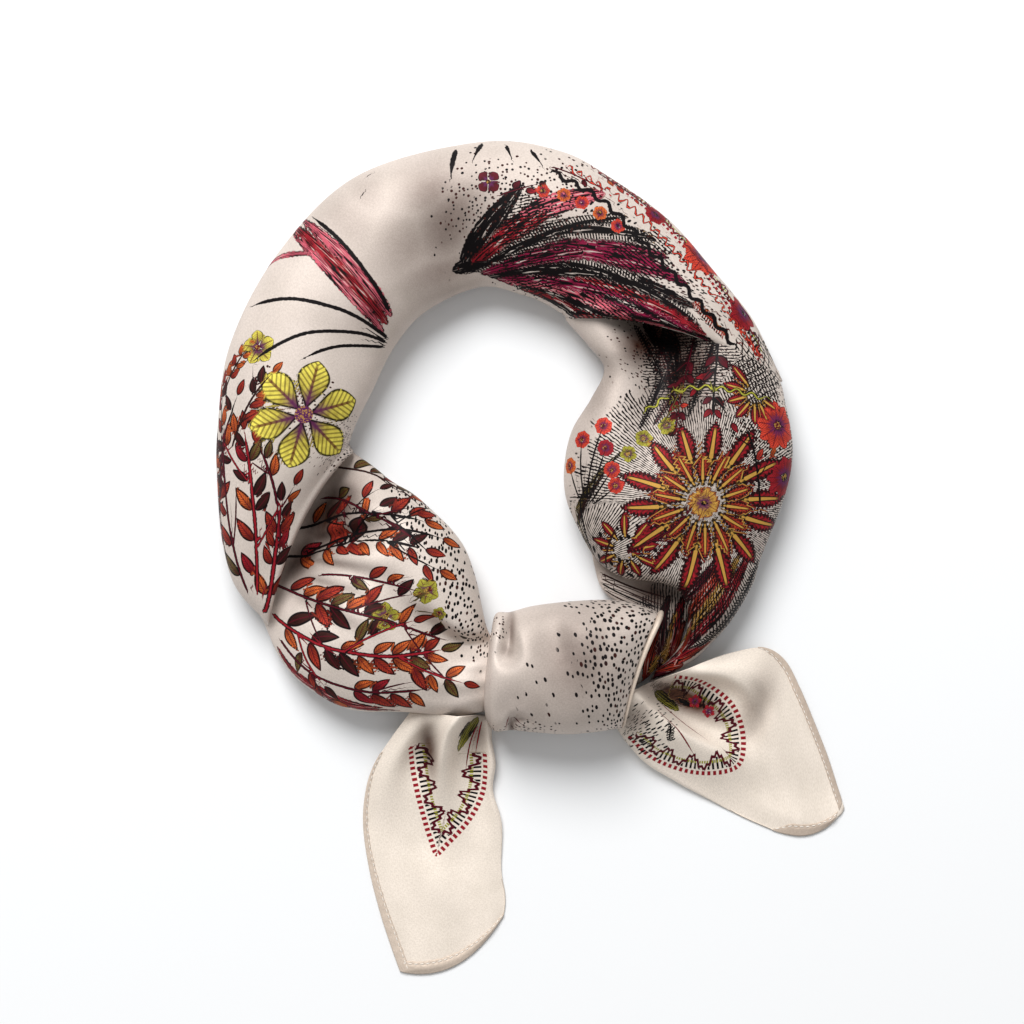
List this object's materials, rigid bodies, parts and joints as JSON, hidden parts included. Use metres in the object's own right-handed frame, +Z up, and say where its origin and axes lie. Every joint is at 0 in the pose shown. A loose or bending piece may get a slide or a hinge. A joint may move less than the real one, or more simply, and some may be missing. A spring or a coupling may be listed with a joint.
{
  "type": "silk square scarf, rolled and knotted, laid flat",
  "caption": "Printed silk square rolled on its diagonal into a soft loop, tied in a square knot with its corner tails spread, lying flat",
  "frame": {"origin": "centre of the bounding box's base, on the surface that the scarf lies on", "axes": "+Z up out of the surface, +Y from the tails towards the top of the loop, +X to the right seen from above"},
  "size_m": [0.2464, 0.3271, 0.0386],
  "materials": {
    "silk_print": "champagne silk satin with a multicolour botanical print, soft sheen",
    "silk_corner": "champagne silk satin corner with a fine printed border",
    "silk_hem": "machine-sewn narrow hem in matching thread"
  },
  "bodies": {
    "root": {"left_roll": "silk_print", "top_right_roll": "silk_print", "lower_left_fold": "silk_print", "right_limb": "silk_print", "right_inner_band": "silk_print", "knot_wrap": "silk_print", "left_tail": "silk_corner", "right_tail": "silk_corner", "left_tail_side_hem": "silk_hem", "left_tail_end_hem": "silk_hem", "right_tail_side_hem": "silk_hem", "right_tail_end_hem": "silk_hem"}
  },
  "joints": []
}
